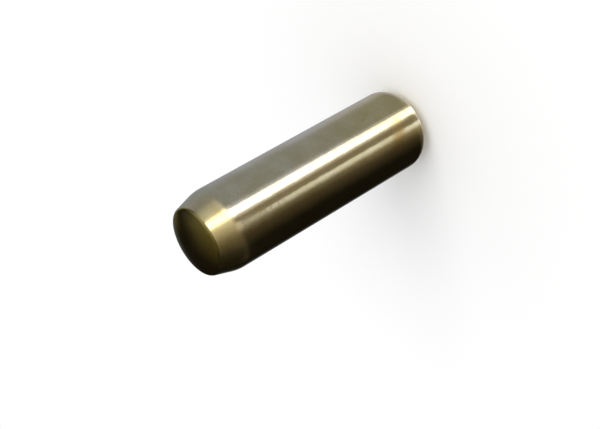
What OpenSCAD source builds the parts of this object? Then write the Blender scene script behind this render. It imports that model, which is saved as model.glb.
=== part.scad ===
// Dowel pin: a straight ground shank with a tapered, crowned nose and a rounded tail.
// It stands on the tail, with +Z along its axis and the origin in the middle of the tail face.
// All lengths are in millimetres and all angles in degrees.

/* [Shank] */
// Diameter of the ground shank
pin_diameter = 6; // [4:0.5:20]
// Length over everything, from the tail face to the top of the crown
pin_length = 20; // [8:0.5:80]

/* [Nose] */
// Length of the taper, along the pin
taper_length = 1.75; // [0.8:0.05:4]
// Slope of the taper, on each side
taper_angle = 16; // [5:0.5:30]
// Rise of the crown above the end of the taper
crown_height = 0.55; // [0.1:0.05:1.2]
// Radius that rounds the edge between the taper and the crown
crown_edge_radius = 0.35; // [0.05:0.05:0.6]
// Radius that blends the taper into the shank
shoulder_radius = 3; // [0.5:0.1:6]

/* [Tail] */
// Radius that rounds the corner between the shank and the tail face
tail_radius = 1.5; // [0.2:0.1:2.9]

/* [Hidden] */
$fn = 128;
// Corners that make up each small rounding
corners = 6;

// Points of the section are [distance from the axis, height].
shank_r = pin_diameter / 2;
nose_r = shank_r - taper_length * tan(taper_angle);
taper_top = pin_length - crown_height;
taper_bottom = taper_top - taper_length;
tail_centre = [shank_r - tail_radius, tail_radius];

// A step of length 1 that leans up from level by an angle
function leaning(angle) = [cos(angle), sin(angle)];

// Corners of a rounding, in short flats that touch its arc from outside. The first corner lies in
// the surface that the arc comes from, and the last in the one that it runs into.
function rounding(centre, radius, from, to) =
    let (step = (to - from) / corners)
    [for (i = [0.5 : corners]) centre + radius / cos(step / 2) * leaning(from + i * step)];

// The crown is part of a ball that meets the top of the taper.
crown_radius = (nose_r ^ 2 + crown_height ^ 2) / (2 * crown_height);
crown_centre = [0, pin_length - crown_radius];

// The rounding of the crown's edge touches both the taper and the ball from inside.
reach = crown_radius - crown_edge_radius;
taper_distance = ([nose_r, taper_top] - crown_centre) * leaning(taper_angle);
crown_lean = taper_angle + acos((taper_distance - crown_edge_radius) / reach);
crown_edge = rounding(
    crown_centre + reach * leaning(crown_lean), crown_edge_radius, taper_angle, crown_lean
);
// Its last corner would graze the ball, so that flat is carried straight on, out of the ball.
run_out = 2 * crown_edge[corners - 1] - crown_edge[corners - 2];

shoulder_drop = shoulder_radius * tan(taper_angle / 2);
shoulder = rounding(
    [shank_r - shoulder_radius, taper_bottom - shoulder_drop], shoulder_radius, 0, taper_angle
);

// Shank and taper, with a notch where the tail's rounding goes
module shank_section() {
    polygon([
        [0, 0], [tail_centre.x, 0], tail_centre, [shank_r, tail_centre.y],
        each shoulder,
        crown_edge[0], [0, crown_edge[0].y]
    ]);
}

// Quarter of a disc in the tail's notch
module tail_section() {
    translate(tail_centre) intersection() {
        circle(r = tail_radius);
        translate([0, -2 * tail_radius]) square(2 * tail_radius);
    }
}

// Crown and its rounded edge, cut to shape by the ball
module crown_section() {
    intersection() {
        polygon([
            [0, crown_edge[0].y],
            for (i = [0 : corners - 2]) crown_edge[i],
            run_out, [run_out.x, pin_length + crown_height], [0, pin_length + crown_height]
        ]);
        translate(crown_centre) circle(r = crown_radius);
    }
}

module pin() {
    color([0.72, 0.66, 0.49]) rotate_extrude() {
        shank_section();
        tail_section();
        crown_section();
    }
}

pin();
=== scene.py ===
import math

import bpy
from mathutils import Matrix


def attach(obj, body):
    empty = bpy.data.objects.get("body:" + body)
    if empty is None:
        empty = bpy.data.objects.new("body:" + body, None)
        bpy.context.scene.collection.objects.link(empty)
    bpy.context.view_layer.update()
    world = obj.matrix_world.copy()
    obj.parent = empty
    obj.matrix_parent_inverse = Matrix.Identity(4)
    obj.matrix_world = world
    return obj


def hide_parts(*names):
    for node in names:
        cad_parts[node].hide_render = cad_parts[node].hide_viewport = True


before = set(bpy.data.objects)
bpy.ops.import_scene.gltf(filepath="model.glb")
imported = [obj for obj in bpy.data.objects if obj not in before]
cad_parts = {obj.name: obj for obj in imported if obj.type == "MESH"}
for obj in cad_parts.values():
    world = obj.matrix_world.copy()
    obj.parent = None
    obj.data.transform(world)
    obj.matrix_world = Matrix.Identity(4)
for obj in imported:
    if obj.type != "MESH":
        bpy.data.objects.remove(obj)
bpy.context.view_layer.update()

mm = 0.001  # lengths below are in metres, unless a note says otherwise


def feed(tree, socket, value):
    # another node's output is wired in, and anything else is typed in
    if isinstance(value, bpy.types.NodeSocket):
        tree.links.new(value, socket)
    else:
        socket.default_value = value


def addNode(tree, kind, feeds=None, **settings):
    node = tree.nodes.new(kind)
    for name, value in settings.items():
        setattr(node, name, value)
    for key, value in (feeds or {}).items():
        feed(tree, node.inputs[key], value)
    return node


def calc(tree, operation, first, second=0.0, third=0.0):
    node = addNode(tree, "ShaderNodeMath", {0: first, 1: second, 2: third}, operation=operation)
    return node.outputs[0]


def calcVector(tree, operation, first, second=(0, 0, 0), third=(0, 0, 0)):
    node = addNode(
        tree, "ShaderNodeVectorMath", {0: first, 1: second, 2: third}, operation=operation
    )
    return node.outputs["Value" if operation in ("LENGTH", "DISTANCE") else "Vector"]


def turnVector(tree, axis, vector, angle):
    node = addNode(
        tree, "ShaderNodeVectorRotate", {"Vector": vector, "Angle": angle}, rotation_type=axis
    )
    return node.outputs[0]


def ramp(tree, value, start, end, low=0.0, high=1.0):
    # an eased step that goes from low to high while value goes from start to end
    node = addNode(
        tree, "ShaderNodeMapRange",
        {"Value": value, "From Min": start, "From Max": end, "To Min": low, "To Max": high},
        interpolation_type="SMOOTHSTEP",
    )
    return node.outputs[0]


def noise(tree, place, scale, detail=2.0, roughness=0.5):
    node = addNode(
        tree, "ShaderNodeTexNoise",
        {"Vector": place, "Scale": scale, "Detail": detail, "Roughness": roughness},
    )
    return node.outputs[0]


def blendColours(tree, share, first, second):
    node = addNode(
        tree, "ShaderNodeMix", {"Factor": share, "A": first, "B": second}, data_type="RGBA"
    )
    return node.outputs["Result"]


# A "Scale" is that of a noise, in patches per metre.
brassLook = {
    "paleBrass": (0.905, 0.78, 0.49, 1.0),
    "deepBrass": (0.745, 0.61, 0.32, 1.0),
    "mottleSize": 2.0 * mm,
    "mottleDetail": 3.0,
    "mottleRoughness": 0.55,
    "mottleRange": (0.38, 0.62),  # pale brass below the first, deep brass above the second
    "grainSize": 0.11 * mm,
    "grainDetail": 1.0,
    "grainShare": 0.45,
    "groundRoughness": 0.115,
    "turnedRoughness": 0.22,
    "wornSmoothness": 0.08,  # taken off the roughness on the crown's edge
    "roughnessSpread": 0.06,
    "roughnessScale": 900.0,
    "roughnessDetail": 4.0,
    "lineDepth": 0.25e-6,  # grinding lines on the shank
    "linePitch": 0.16 * mm,
    "lineDetail": 3.0,
    "lineRoughness": 0.6,
    "lineBreakScale": 260.0,  # how often a line changes on its way round
    "waveDepth": 4.0e-6,  # slight unevenness left by grinding
    "waveSize": 0.45 * mm,
    "ringDepth": 0.25e-6,  # turning rings on the nose
    "ringPitch": 0.12 * mm,
    "stainColour": (0.68, 0.46, 0.175, 1.0),
    "stainPlace": (-0.45 * mm, -2.96 * mm, 2.85 * mm),
    "stainSize": (1.2 * mm, 1.2 * mm, 0.62 * mm),
    "stainTurn": 35,  # degrees, rising towards -X
    "stainStrength": 0.8,
    "stainRoughness": 0.12,
    "stainFade": (1.0, 1.9),  # distances from its middle over which it fades, in stain sizes
    "stainRagged": 1.2,  # the most that the ragged edge adds to a distance
    "stainEdgeScale": 2200.0,
    "stainEdgeDetail": 3.0,
}


def brassStain(tree, look, place):
    # strongest in the middle of the stain, and fading out over a ragged edge
    away = calcVector(tree, "SUBTRACT", place, look["stainPlace"])
    away = turnVector(tree, "Y_AXIS", away, -math.radians(look["stainTurn"]))
    away = calcVector(tree, "DIVIDE", away, look["stainSize"])
    away = calcVector(tree, "LENGTH", away)
    edge = noise(tree, place, look["stainEdgeScale"], look["stainEdgeDetail"])
    away = calc(tree, "MULTIPLY_ADD", edge, look["stainRagged"], away)
    return ramp(tree, away, *look["stainFade"], look["stainStrength"], 0.0)


def brassColour(tree, look, place, stain):
    # two brasses in soft, grainy patches, with the brown stain over them
    mottle = noise(
        tree, place, 1 / look["mottleSize"], look["mottleDetail"], look["mottleRoughness"]
    )
    grain = noise(tree, place, 1 / look["grainSize"], look["grainDetail"])
    mottle = calc(tree, "MULTIPLY_ADD", grain, look["grainShare"], mottle)
    pale, deep = look["mottleRange"]
    share = ramp(tree, mottle, pale, deep + look["grainShare"])  # the grain lifts the pattern
    colour = blendColours(tree, share, look["paleBrass"], look["deepBrass"])
    return blendColours(tree, stain, colour, look["stainColour"])


def brassRoughness(tree, look, place, turned, worn, stain):
    # the shank is ground, the nose is only turned, and the crown's edge is rubbed smoother
    rough = calc(
        tree, "MULTIPLY_ADD", turned,
        look["turnedRoughness"] - look["groundRoughness"], look["groundRoughness"],
    )
    rubbed = calc(tree, "MULTIPLY", worn, -look["wornSmoothness"])
    patches = calc(
        tree, "MULTIPLY_ADD", noise(tree, place, look["roughnessScale"], look["roughnessDetail"]),
        look["roughnessSpread"], -look["roughnessSpread"] / 2,
    )
    rough = calc(tree, "ADD", calc(tree, "ADD", rough, rubbed), patches)
    return calc(tree, "MULTIPLY_ADD", stain, look["stainRoughness"], rough)


def brassRelief(tree, look, place, along, turned):
    # lines and rings run round the pin, so both are read from the way along its section
    around = (look["lineBreakScale"], look["lineBreakScale"], 0.0)
    lineHeight = calc(tree, "DIVIDE", along, look["linePitch"])
    lineHeight = addNode(tree, "ShaderNodeCombineXYZ", {"Z": lineHeight}).outputs[0]
    linePlace = calcVector(tree, "ADD", calcVector(tree, "MULTIPLY", place, around), lineHeight)
    lines = noise(tree, linePlace, 1.0, look["lineDetail"], look["lineRoughness"])
    lines = calc(tree, "MULTIPLY", lines, look["lineDepth"])
    rings = calc(tree, "SINE", calc(tree, "MULTIPLY", along, math.tau / look["ringPitch"]))
    rings = calc(tree, "MULTIPLY", calc(tree, "MULTIPLY", rings, turned), look["ringDepth"])
    waves = calc(tree, "MULTIPLY", noise(tree, place, 1 / look["waveSize"]), look["waveDepth"])
    return calc(tree, "ADD", calc(tree, "ADD", lines, rings), waves)


def makeBrass(look):
    metal = bpy.data.materials.new("groundBrass")
    metal.use_nodes = True
    tree = metal.node_tree
    tree.nodes.clear()
    place = addNode(tree, "ShaderNodeTexCoord").outputs["Object"]
    along, turned, worn = (
        addNode(tree, "ShaderNodeAttribute", attribute_name=name).outputs["Fac"]
        for name in ("alongSection", "turnedZone", "wornEdge")
    )
    stain = brassStain(tree, look, place)
    relief = brassRelief(tree, look, place, along, turned)
    bump = addNode(
        tree, "ShaderNodeBump", {"Strength": 1.0, "Distance": 1.0, "Height": relief}
    )
    shader = addNode(
        tree, "ShaderNodeBsdfPrincipled",
        {
            "Base Color": brassColour(tree, look, place, stain),
            "Metallic": 1.0,
            "Roughness": brassRoughness(tree, look, place, turned, worn, stain),
            "Normal": bump.outputs[0],
        },
    )
    addNode(tree, "ShaderNodeOutputMaterial", {"Surface": shader.outputs[0]})
    return metal


# Half of the pin's section is drawn and turned round the axis. The steps say how finely each
# rounding, the crown and the turn are cut.
pinSizes = {
    "Diameter": 6 * mm,
    "Length": 20 * mm,
    "Taper Length": 1.75 * mm,
    "Taper Angle": math.radians(16),
    "Crown Height": 0.55 * mm,
    "Crown Edge Radius": 0.35 * mm,
    "Shoulder Radius": 3 * mm,
    "Tail Radius": 1.5 * mm,
    "Longest Step": 0.2 * mm,
    "Steps Around": 256,
    "Tail Steps": 24,
    "Shoulder Steps": 10,
    "Crown Edge Steps": 10,
    "Crown Steps": 14,
    "Finish Blend": 0.25 * mm,  # to each side of the shoulder, from the ground to the turned finish
    "Worn Near": 0.08 * mm,  # wear is full up to this far from the crown's edge
    "Worn Far": 0.3 * mm,  # and gone from here
    "Merge Distance": 0.0001 * mm,
}


def point(tree, x, z):
    return addNode(tree, "ShaderNodeCombineXYZ", {"X": x, "Z": z}).outputs[0]


def pickByIndex(tree, dataType, index, items):
    node = addNode(tree, "GeometryNodeIndexSwitch", data_type=dataType)
    while len(node.index_switch_items) < len(items):
        node.index_switch_items.new()
    feed(tree, node.inputs["Index"], index)
    for slot, item in enumerate(items):
        feed(tree, node.inputs[slot + 1], item)
    return node.outputs[0]


def sampleSection(tree, section, row, value, dataType):
    return addNode(
        tree, "GeometryNodeSampleIndex", {"Geometry": section, "Value": value, "Index": row},
        data_type=dataType,
    ).outputs[0]


def storeValue(tree, geometry, name, value):
    return addNode(
        tree, "GeometryNodeStoreNamedAttribute",
        {"Geometry": geometry, "Name": name, "Value": value}, data_type="FLOAT",
    ).outputs[0]


def noseEdges(tree, size):
    # the shank's radius, the radius and height of the crown's edge, and the shoulder's height
    shankR = calc(tree, "DIVIDE", size["Diameter"], 2)
    slope = calc(tree, "TANGENT", size["Taper Angle"])
    noseR = calc(tree, "SUBTRACT", shankR, calc(tree, "MULTIPLY", size["Taper Length"], slope))
    taperTop = calc(tree, "SUBTRACT", size["Length"], size["Crown Height"])
    taperBottom = calc(tree, "SUBTRACT", taperTop, size["Taper Length"])
    return shankR, noseR, taperTop, taperBottom


def crownPoints(tree, size, index, noseR):
    # the crown is part of a ball, and index counts from its edge up to its top
    squares = calc(
        tree, "ADD", calc(tree, "POWER", noseR, 2), calc(tree, "POWER", size["Crown Height"], 2)
    )
    crownR = calc(tree, "DIVIDE", squares, calc(tree, "MULTIPLY", size["Crown Height"], 2))
    crownZ = calc(tree, "SUBTRACT", size["Length"], crownR)
    reach = calc(tree, "ARCSINE", calc(tree, "DIVIDE", noseR, crownR))
    share = calc(tree, "DIVIDE", index, size["Crown Steps"])
    lean = calc(tree, "MULTIPLY", reach, calc(tree, "SUBTRACT", 1, share))
    return point(
        tree, calc(tree, "MULTIPLY", crownR, calc(tree, "SINE", lean)),
        calc(tree, "MULTIPLY_ADD", crownR, calc(tree, "COSINE", lean), crownZ),
    )


def drawSection(tree, size, shankR, noseR, taperBottom):
    # corners run from the middle of the tail to its rim, the shoulder, the crown's edge and its top
    crownEdge = 3  # the number of the corner where the crown starts
    index = addNode(tree, "GeometryNodeInputIndex").outputs[0]
    crownPoint = crownPoints(tree, size, calc(tree, "SUBTRACT", index, crownEdge), noseR)
    corner = pickByIndex(
        tree, "VECTOR", calc(tree, "MINIMUM", index, crownEdge),
        [(0, 0, 0), point(tree, shankR, 0.0), point(tree, shankR, taperBottom), crownPoint],
    )
    cornerKind = calc(tree, "MINIMUM", index, crownEdge + 1)
    radius = pickByIndex(
        tree, "FLOAT", cornerKind,
        [0.0, size["Tail Radius"], size["Shoulder Radius"], size["Crown Edge Radius"], 0.0],
    )
    steps = pickByIndex(
        tree, "INT", cornerKind,
        [1, size["Tail Steps"], size["Shoulder Steps"], size["Crown Edge Steps"], 1],
    )
    cornerCount = calc(tree, "ADD", size["Crown Steps"], crownEdge + 1)
    line = addNode(tree, "GeometryNodeCurvePrimitiveLine").outputs[0]
    line = addNode(tree, "GeometryNodeResampleCurve", {"Curve": line, "Count": cornerCount})
    section = addNode(
        tree, "GeometryNodeSetPosition", {"Geometry": line.outputs[0], "Position": corner}
    )
    section = addNode(
        tree, "GeometryNodeFilletCurve",
        {"Curve": section.outputs[0], "Count": steps, "Radius": radius}, mode="POLY",
    )

    # long stretches are cut into steps
    here = addNode(tree, "GeometryNodeInputPosition").outputs[0]
    following = addNode(
        tree, "GeometryNodeFieldAtIndex",
        {"Index": calc(tree, "ADD", index, 1), "Value": here}, data_type="FLOAT_VECTOR",
    ).outputs[0]
    stretch = calcVector(tree, "DISTANCE", here, following)
    cuts = calc(tree, "FLOOR", calc(tree, "DIVIDE", stretch, size["Longest Step"]))
    return addNode(
        tree, "GeometryNodeSubdivideCurve", {"Curve": section.outputs[0], "Cuts": cuts}
    ).outputs[0]


def turnSection(tree, size, section):
    # a grid with one row for each point of the section is laid round the axis
    rows = addNode(
        tree, "GeometryNodeAttributeDomainSize", {0: section}, component="CURVE"
    ).outputs["Point Count"]
    columns = calc(tree, "ADD", size["Steps Around"], 1)
    grid = addNode(
        tree, "GeometryNodeMeshGrid", {"Vertices X": rows, "Vertices Y": columns}
    ).outputs["Mesh"]
    index = addNode(tree, "GeometryNodeInputIndex").outputs[0]
    row = calc(tree, "FLOOR", calc(tree, "DIVIDE", index, columns))
    column = calc(tree, "SUBTRACT", index, calc(tree, "MULTIPLY", row, columns))
    here = addNode(tree, "GeometryNodeInputPosition").outputs[0]
    sectionPoint = sampleSection(tree, section, row, here, "FLOAT_VECTOR")
    turn = calc(
        tree, "DIVIDE", calc(tree, "MULTIPLY", column, math.tau), size["Steps Around"]
    )
    turnedPoint = turnVector(tree, "Z_AXIS", sectionPoint, turn)
    body = addNode(
        tree, "GeometryNodeSetPosition", {"Geometry": grid, "Position": turnedPoint}
    ).outputs[0]
    return body, row, sectionPoint


def makePinTree(sizes, metal):
    tree = bpy.data.node_groups.new("turnedPin", "GeometryNodeTree")
    for name, value in sizes.items():
        kind = "NodeSocketInt" if isinstance(value, int) else "NodeSocketFloat"
        tree.interface.new_socket(name, in_out="INPUT", socket_type=kind)
    tree.interface.new_socket("Geometry", in_out="OUTPUT", socket_type="NodeSocketGeometry")
    size = addNode(tree, "NodeGroupInput").outputs

    shankR, noseR, taperTop, taperBottom = noseEdges(tree, size)
    section = drawSection(tree, size, shankR, noseR, taperBottom)
    body, row, sectionPoint = turnSection(tree, size, section)

    # values that the finish reads
    travelled = addNode(tree, "GeometryNodeSplineParameter").outputs["Length"]
    travelled = sampleSection(tree, section, row, travelled, "FLOAT")
    height = addNode(tree, "ShaderNodeSeparateXYZ", {0: sectionPoint}).outputs["Z"]
    turned = ramp(
        tree, height, calc(tree, "SUBTRACT", taperBottom, size["Finish Blend"]),
        calc(tree, "ADD", taperBottom, size["Finish Blend"]),
    )
    edgeGap = calcVector(tree, "DISTANCE", sectionPoint, point(tree, noseR, taperTop))
    worn = ramp(tree, edgeGap, size["Worn Near"], size["Worn Far"], 1.0, 0.0)
    body = storeValue(tree, body, "alongSection", travelled)
    body = storeValue(tree, body, "turnedZone", turned)
    body = storeValue(tree, body, "wornEdge", worn)

    # the seam and both poles are merged
    body = addNode(
        tree, "GeometryNodeMergeByDistance", {"Geometry": body, "Distance": size["Merge Distance"]}
    ).outputs[0]
    body = addNode(tree, "GeometryNodeSetShadeSmooth", {0: body}).outputs[0]
    body = addNode(tree, "GeometryNodeRealizeInstances", {0: body}).outputs[0]
    body = addNode(
        tree, "GeometryNodeSetMaterial", {"Geometry": body, "Material": metal}
    ).outputs[0]
    addNode(tree, "NodeGroupOutput", {"Geometry": body})
    return tree


def makePin(sizes, metal):
    pin = bpy.data.objects.new("groundPin", bpy.data.meshes.new("groundPin"))
    bpy.context.scene.collection.objects.link(pin)
    turning = pin.modifiers.new("turning", "NODES")
    turning.node_group = makePinTree(sizes, metal)
    for item in turning.node_group.interface.items_tree:
        if item.in_out == "INPUT":
            turning[item.identifier] = sizes[item.name]
    graph = bpy.context.evaluated_depsgraph_get()
    turnedMesh = bpy.data.meshes.new_from_object(
        pin.evaluated_get(graph), preserve_all_data_layers=True, depsgraph=graph
    )
    pin.modifiers.clear()
    pin.data = turnedMesh
    pin.data.name = "groundPin"
    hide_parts("pin")
    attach(pin, "root")
    return pin


brass = makeBrass(brassLook)
pin = makePin(pinSizes, brass)
print("pin turned:", len(pin.data.vertices), "vertices,", len(pin.data.polygons), "faces")


floorLook = {"size": 4.0, "colour": (0.92, 0.92, 0.92, 1.0), "roughness": 0.9, "specular": 0.0}


def makeFloor(look):
    half = look["size"] / 2
    sheet = bpy.data.meshes.new("floor")
    sheet.from_pydata(
        [(-half, -half, 0), (half, -half, 0), (half, half, 0), (-half, half, 0)],
        [], [(0, 1, 2, 3)],
    )
    floor = bpy.data.objects.new("floor", sheet)
    bpy.context.scene.collection.objects.link(floor)
    paper = bpy.data.materials.new("palePaper")
    paper.use_nodes = True
    shader = paper.node_tree.nodes["Principled BSDF"]
    shader.inputs["Base Color"].default_value = look["colour"]
    shader.inputs["Roughness"].default_value = look["roughness"]
    shader.inputs["Specular IOR Level"].default_value = look["specular"]
    sheet.materials.append(paper)
    floor.visible_glossy = False  # the metal mirrors the soft boxes alone


# Soft boxes stand round the pin, in degrees. "across" runs round the horizon, from the camera's
# side towards +X, and "up" is the height over it. Their edges fade over "acrossSoft" and "upSoft",
# and a height past 90 has no edge. A bent box is read from a point behind the pin instead: it runs
# on straight underneath, and its streak keeps its width down to the tail.
worldLook = {
    "darkness": (0.008, 0.0072, 0.005),  # of the room behind the boxes
    "floorFill": (0.86, 0.86, 0.86, 1.0),  # lights the floor
    "backdrop": (0.98, 0.98, 0.98, 1.0),  # shows past the floor
    "bend": 0.86,  # how far behind the pin that point is, where the boxes are 1 away
    "bendFade": (0.3, 0.7),  # the Y of a direction over which bent boxes fade out
    "softBoxes": {
        # the bright strip
        "keyStrip": {
            "across": (5.2, 14.6), "acrossSoft": (1.6, 1.6), "up": (-95, -12), "upSoft": (1, 12),
            "light": (1.7, 1.7, 1.48), "bent": True,
        },
        "keySide": {
            "across": (14.6, 15.8), "acrossSoft": (1.6, 2.4), "up": (-33.6, -12), "upSoft": (3, 12),
            "light": (1.35, 1.45, 1.9), "bent": True,
        },
        "keyCool": {
            "across": (4.3, 18.5), "acrossSoft": (3, 5), "up": (-33.8, -6), "upSoft": (2.5, 8),
            "light": (0.01, 0.05, 0.34), "bent": True,
        },
        "keyFade": {
            "across": (17, 21), "acrossSoft": (3, 6), "up": (-32.5, -18), "upSoft": (4, 8),
            "light": (0.1, 0.105, 0.14), "bent": True,
        },
        "keyTop": {
            "across": (5.4, 18.4), "acrossSoft": (4, 2), "up": (-10, 18), "upSoft": (12, 10),
            "light": (2.2, 2.2, 1.85), "bent": True,
        },
        "keyJoin": {
            "across": (3.5, 20), "acrossSoft": (6, 5), "up": (-24, -6), "upSoft": (5, 8),
            "light": (0.25, 0.25, 0.3), "bent": True,
        },
        "keyHalo": {
            "across": (4.2, 16.3), "acrossSoft": (8, 8), "up": (-95, -14), "upSoft": (1, 8),
            "light": (0.6, 0.64, 0.78), "bent": True,
        },
        "keyEdge": {
            "across": (1.4, 8), "acrossSoft": (5, 4), "up": (-35.6, -15), "upSoft": (6, 8),
            "light": (0.22, 0.22, 0.32), "bent": True,
        },
        # the weaker strip beside it
        "secondStrip": {
            "across": (-12.9, -6.8), "acrossSoft": (7, 1.2), "up": (-95, -28.8), "upSoft": (1, 2),
            "light": (0.55, 0.635, 0.78), "bent": True,
        },
        "secondTop": {
            "across": (-14.0, -4.2), "acrossSoft": (12, 4), "up": (-26.4, -9), "upSoft": (3.6, 8),
            "light": (0.34, 0.35, 0.4), "bent": True,
        },
        # warm light round both strips, and on the nose
        "warmWall": {
            "across": (-17, 9), "acrossSoft": (16, 4), "up": (-95, 14), "upSoft": (1, 8),
            "light": (0.15, 0.145, 0.125), "bent": True,
        },
        "warmSkirt": {
            "across": (-30, 9), "acrossSoft": (30, 4), "up": (-95, 14), "upSoft": (1, 8),
            "light": (0.065, 0.053, 0.034), "bent": True,
        },
        "warmFoot": {
            "across": (-20, -9), "acrossSoft": (20, 6), "up": (-95, -34), "upSoft": (1, 6),
            "light": (0.12, 0.105, 0.07), "bent": True,
        },
        "noseGlow": {
            "across": (-4.5, 37), "acrossSoft": (24, 26), "up": (-9, 14), "upSoft": (12, 8),
            "light": (0.43, 0.42, 0.38), "bent": True,
        },
        "noseSkirt": {
            "across": (-34, 10), "acrossSoft": (44, 10), "up": (-17, 14), "upSoft": (12, 8),
            "light": (0.08, 0.072, 0.046), "bent": True,
        },
        # the pale side
        "greyWall": {
            "across": (34, 168), "acrossSoft": (4, 50), "up": (-95, 2), "upSoft": (1, 14),
            "light": (0.25, 0.262, 0.255), "bent": False,
        },
        "coolWall": {
            "across": (38, 168), "acrossSoft": (8, 50), "up": (-33.4, -4), "upSoft": (4, 16),
            "light": (0.0, 0.027, 0.125), "bent": False,
        },
        "paleSide": {
            "across": (116, 140), "acrossSoft": (30, 40), "up": (-95, -29.5), "upSoft": (1, 4.5),
            "light": (0.055, 0.065, 0.13), "bent": False,
        },
        # faint light on the dark side
        "lowBand": {
            "across": (-122, -50), "acrossSoft": (24, 40), "up": (-23, -13), "upSoft": (4, 6),
            "light": (0.02, 0.018, 0.012), "bent": False,
        },
        "shoulderBand": {
            "across": (-125, -66), "acrossSoft": (20, 12), "up": (-26.5, -21.5), "upSoft": (2, 5),
            "light": (0.014, 0.012, 0.009), "bent": False,
        },
        "lowSide": {
            "across": (-125, -82), "acrossSoft": (20, 12), "up": (-6, 45), "upSoft": (8, 25),
            "light": (0.009, 0.008, 0.003), "bent": False,
        },
        # the back
        "greyBack": {
            "across": (168, 196), "acrossSoft": (50, 46), "up": (-95, -15), "upSoft": (1, 12),
            "light": (0.25, 0.262, 0.32), "bent": False,
        },
        "coolEdge": {
            "across": (130, 178), "acrossSoft": (40, 30), "up": (-95, -27.5), "upSoft": (1, 4),
            "light": (0.09, 0.09, 0.11), "bent": False,
        },
        "paleFoot": {
            "across": (122, 178), "acrossSoft": (40, 30), "up": (-95, -33), "upSoft": (1, 4),
            "light": (0.05, 0.05, 0.06), "bent": False,
        },
        "backHaze": {
            "across": (110, 168), "acrossSoft": (30, 10), "up": (4, 12), "upSoft": (12, 18),
            "light": (0.15, 0.14, 0.06), "bent": False,
        },
        # from below
        "underGlow": {
            "across": (-180, 180), "acrossSoft": (0, 0), "up": (-95, -56), "upSoft": (1, 26),
            "light": (0.055, 0.052, 0.044), "bent": False,
        },
        "backFloor": {
            "across": (150, 210), "acrossSoft": (60, 60), "up": (-70, -46), "upSoft": (12, 16),
            "light": (0.22, 0.21, 0.19), "bent": False,
        },
        # from above
        "canopy": {
            "across": (-8, 90), "acrossSoft": (70, 100), "up": (11, 62), "upSoft": (16, 44),
            "light": (0.32, 0.3, 0.21), "bent": False,
        },
        "canopySkirt": {
            "across": (-70, 0), "acrossSoft": (60, 40), "up": (10, 70), "upSoft": (14, 40),
            "light": (0.055, 0.05, 0.016), "bent": False,
        },
        "overhead": {
            "across": (-180, 180), "acrossSoft": (0, 0), "up": (65, 95), "upSoft": (70, 1),
            "light": (0.105, 0.088, 0.021), "bent": False,
        },
        "overheadSide": {
            "across": (40, 170), "acrossSoft": (100, 70), "up": (58, 95), "upSoft": (56, 1),
            "light": (0.066, 0.069, 0.042), "bent": False,
        },
        "highSide": {
            "across": (140, 160), "acrossSoft": (40, 18), "up": (30, 62), "upSoft": (16, 14),
            "light": (0.027, 0.025, 0.014), "bent": False,
        },
    },
}


def boxMask(tree, box, compass, height):
    # 1 inside the box and 0 outside it, with soft edges
    start, end = (math.radians(angle) for angle in box["across"])
    leftSoft, rightSoft = (math.radians(angle) / 2 for angle in box["acrossSoft"])
    low, high = (math.radians(angle) for angle in box["up"])
    lowSoft, highSoft = (math.radians(angle) / 2 for angle in box["upSoft"])
    mask = calc(
        tree, "MULTIPLY", ramp(tree, height, low - lowSoft, low + lowSoft),
        ramp(tree, height, high - highSoft, high + highSoft, 1.0, 0.0),
    )
    if leftSoft + rightSoft == 0:
        return mask  # it runs all the way round
    half = (end - start) / 2
    off = calc(tree, "SUBTRACT", compass, (start + end) / 2)
    off = calc(tree, "WRAP", off, math.pi, -math.pi)
    left = ramp(tree, off, -half - leftSoft, -half + leftSoft)
    right = ramp(tree, off, half - rightSoft, half + rightSoft, 1.0, 0.0)
    return calc(tree, "MULTIPLY", mask, calc(tree, "MULTIPLY", left, right))


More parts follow.
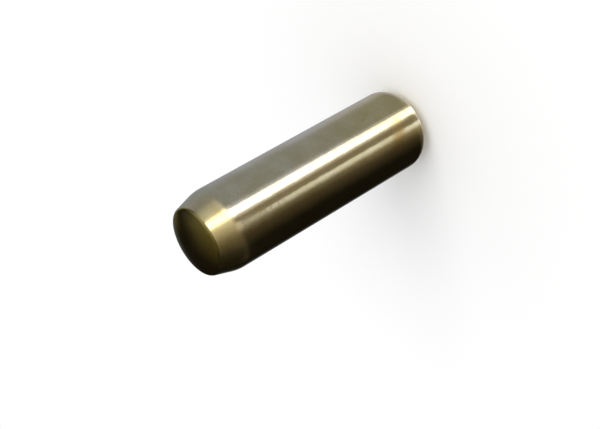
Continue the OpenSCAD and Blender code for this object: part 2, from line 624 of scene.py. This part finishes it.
def makeWorld(look):
    world = bpy.data.worlds.new("studio")
    bpy.context.scene.world = world
    world.use_nodes = True
    world.cycles.sampling_method = "NONE"  # the light differs by kind of ray, so none is guessed
    tree = world.node_tree
    tree.nodes.clear()
    way = addNode(tree, "ShaderNodeTexCoord").outputs["Generated"]  # the direction looked in
    part = addNode(tree, "ShaderNodeSeparateXYZ", {0: way}).outputs
    compass = {
        bent: calc(tree, "ARCTAN2", part["X"], calc(tree, "SUBTRACT", shift, part["Y"]))
        for bent, shift in ((False, 0.0), (True, look["bend"]))
    }
    nearSide = ramp(tree, part["Y"], *look["bendFade"], 1.0, 0.0)
    height = calc(tree, "ARCSINE", part["Z"])

    total = look["darkness"]
    for box in look["softBoxes"].values():
        mask = boxMask(tree, box, compass[box["bent"]], height)
        if box["bent"]:
            mask = calc(tree, "MULTIPLY", mask, nearSide)
        total = calcVector(tree, "MULTIPLY_ADD", mask, box["light"], total)

    ray = addNode(tree, "ShaderNodeLightPath").outputs
    seen = blendColours(tree, ray["Is Glossy Ray"], look["floorFill"], total)
    seen = blendColours(tree, ray["Is Camera Ray"], seen, look["backdrop"])
    light = addNode(tree, "ShaderNodeBackground", {"Color": seen, "Strength": 1.0})
    addNode(tree, "ShaderNodeOutputWorld", {"Surface": light.outputs[0]})


lampLook = {
    "width": 1.5,
    "power": 19.8,  # watts
    "compass": 40,  # degrees, from the camera's side towards +X
    "height": 55,  # degrees
    "distance": 2.4,
}


def makeLamp(look):
    lamp = bpy.data.objects.new("floorLamp", bpy.data.lights.new("floorLamp", "AREA"))
    lamp.data.size = look["width"]
    lamp.data.energy = look["power"]
    turn, lift = math.radians(look["compass"]), math.radians(look["height"])
    stand = Matrix.Rotation(turn, 4, "Z") @ Matrix.Rotation(math.pi / 2 - lift, 4, "X")
    lamp.matrix_world = stand @ Matrix.Translation((0, 0, look["distance"]))
    lamp.visible_glossy = False
    bpy.context.scene.collection.objects.link(lamp)


cameraLook = {
    "place": (0.0, -73.97 * mm, 54.25 * mm),
    "pitch": -30.02,  # degrees, as are the next two
    "heading": 1.489,
    "roll": -120.7,
    "lens": 74.08,  # in millimetres, as is the sensor
    "sensor": 36.0,
    "clip": (1 * mm, 10.0),
}


def makeCamera(look):
    camera = bpy.data.objects.new("camera", bpy.data.cameras.new("camera"))
    camera.data.lens = look["lens"]
    camera.data.sensor_width = look["sensor"]
    camera.data.clip_start, camera.data.clip_end = look["clip"]
    camera.matrix_world = (
        Matrix.Translation(look["place"])
        @ Matrix.Rotation(math.radians(look["heading"]), 4, "Z")
        @ Matrix.Rotation(math.radians(90 + look["pitch"]), 4, "X")
        @ Matrix.Rotation(math.radians(look["roll"]), 4, "Z")
    )
    bpy.context.scene.collection.objects.link(camera)
    bpy.context.scene.camera = camera


makeFloor(floorLook)
makeWorld(worldLook)
makeLamp(lampLook)
makeCamera(cameraLook)
bpy.context.scene.view_settings.view_transform = "Standard"
print("floor, light and camera placed")
